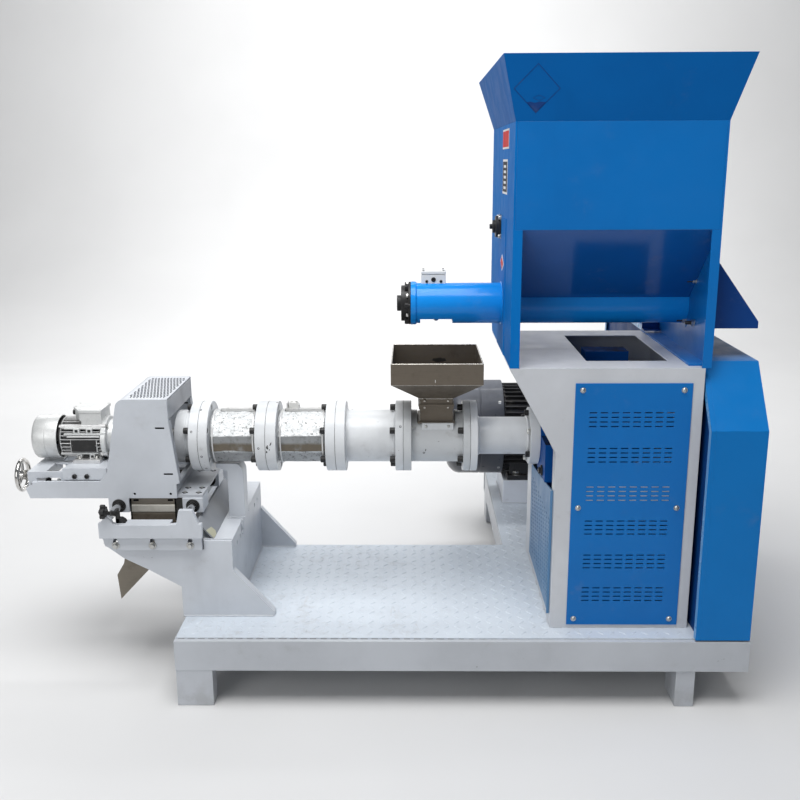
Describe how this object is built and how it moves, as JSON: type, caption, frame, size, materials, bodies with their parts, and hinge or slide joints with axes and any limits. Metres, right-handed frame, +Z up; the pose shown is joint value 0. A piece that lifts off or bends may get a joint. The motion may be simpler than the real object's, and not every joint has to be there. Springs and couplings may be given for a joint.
{
  "type": "fish feed extruder",
  "caption": "Floor-standing fish feed extruder: flared feed hopper on a drive cabinet, flanged heated barrel with inlet chute, and a sliding cutter unit with its own motor.",
  "frame": {"origin": "centre of the footprint's bounding box, on the floor under the legs", "axes": "+X along the barrel from the cutter unit towards the belt guard, +Y from the operating side to the main motor, +Z up"},
  "size_m": [2.076, 1.48, 1.697],
  "materials": {
    "machine_white": "satin",
    "deck_paint": "satin",
    "machine_blue": "gloss",
    "bright_steel": "polished",
    "stainless_sheet": "brushed",
    "cast_aluminium": "satin",
    "black_iron": "satin",
    "grey_motor_paint": "satin",
    "white_plastic": "matte",
    "black_rubber": "matte"
  },
  "bodies": {
    "root": {"base_rails_long": "machine_white", "base_rails_cross": "machine_white", "deck_plate": "deck_paint", "legs": "machine_white", "pedestal_front_plate": "machine_white", "pedestal_back_plate": "machine_white", "pedestal_side_plate": "machine_white", "pedestal_ledge": "machine_white", "barrel_support": "machine_white", "rail_front": "machine_white", "rail_back": "machine_white", "rail_clamp_plates": "machine_white", "rail_splash_plate": "machine_white", "guide_rods": "bright_steel", "die_head": "machine_white", "barrel_segment_a": "machine_white", "barrel_segment_b": "machine_white", "barrel_segment_c": "machine_white", "inlet_segment": "machine_white", "bearing_housing": "machine_white", "heater_cover_a": "stainless_sheet", "heater_cover_b": "stainless_sheet", "inlet_chute": "stainless_sheet", "gearbox": "machine_blue", "cabinet_front": "machine_white", "cabinet_left": "machine_white", "cabinet_right": "machine_white", "cabinet_back": "machine_white", "cabinet_top": "machine_white", "vented_door": "machine_blue", "side_vent_panel": "machine_blue", "hopper_front": "machine_blue", "hopper_back": "machine_blue", "hopper_left_plate": "machine_blue", "hopper_right_plate": "machine_blue", "hopper_trough": "machine_blue", "hopper_flare": "machine_blue", "hopper_bearing": "black_iron", "feeder_tube": "machine_blue", "feeder_end_cap": "black_iron", "feeder_junction_box": "white_plastic", "feeder_drive_cover": "machine_blue", "feed_screw": "bright_steel", "belt_guard": "machine_blue", "main_motor": "black_iron", "main_motor_cowl": "grey_motor_paint", "motor_mount": "machine_white"},
    "cutter_carriage": {"hood_front_plate": "machine_white", "hood_back_plate": "machine_white", "hood_cover": "machine_white", "hood_end_plates": "machine_white", "tail_tray": "machine_white", "carriage_base": "machine_white", "bearing_blocks": "cast_aluminium", "discharge_chute": "stainless_sheet"},
    "sled": {"motor_sled": "machine_white", "cutter_motor": "cast_aluminium", "cutter_motor_cowl": "cast_aluminium"},
    "screw_wheel": {"adjusting_screw": "bright_steel", "handwheel": "bright_steel"}
  },
  "joints": [
    {"name": "cutter_slide", "type": "slide", "parent": "root", "child": "cutter_carriage", "axis": [0, 1, 0], "range_m": [-0.04, 0.04]},
    {"name": "handwheel_turn", "type": "hinge", "parent": "cutter_carriage", "child": "screw_wheel", "pos_m": [-1.03, -0.39, 0.552], "axis": [1, 0, 0], "range_deg": [-2880, 720]},
    {"name": "sled_slide", "type": "slide", "parent": "cutter_carriage", "child": "sled", "axis": [1, 0, 0], "range_m": [-0.032, 0.008]}
  ],
  "couplings": [
    {"joint": "sled_slide", "follows": "handwheel_turn", "m_per_rad": 0.00063662}
  ]
}
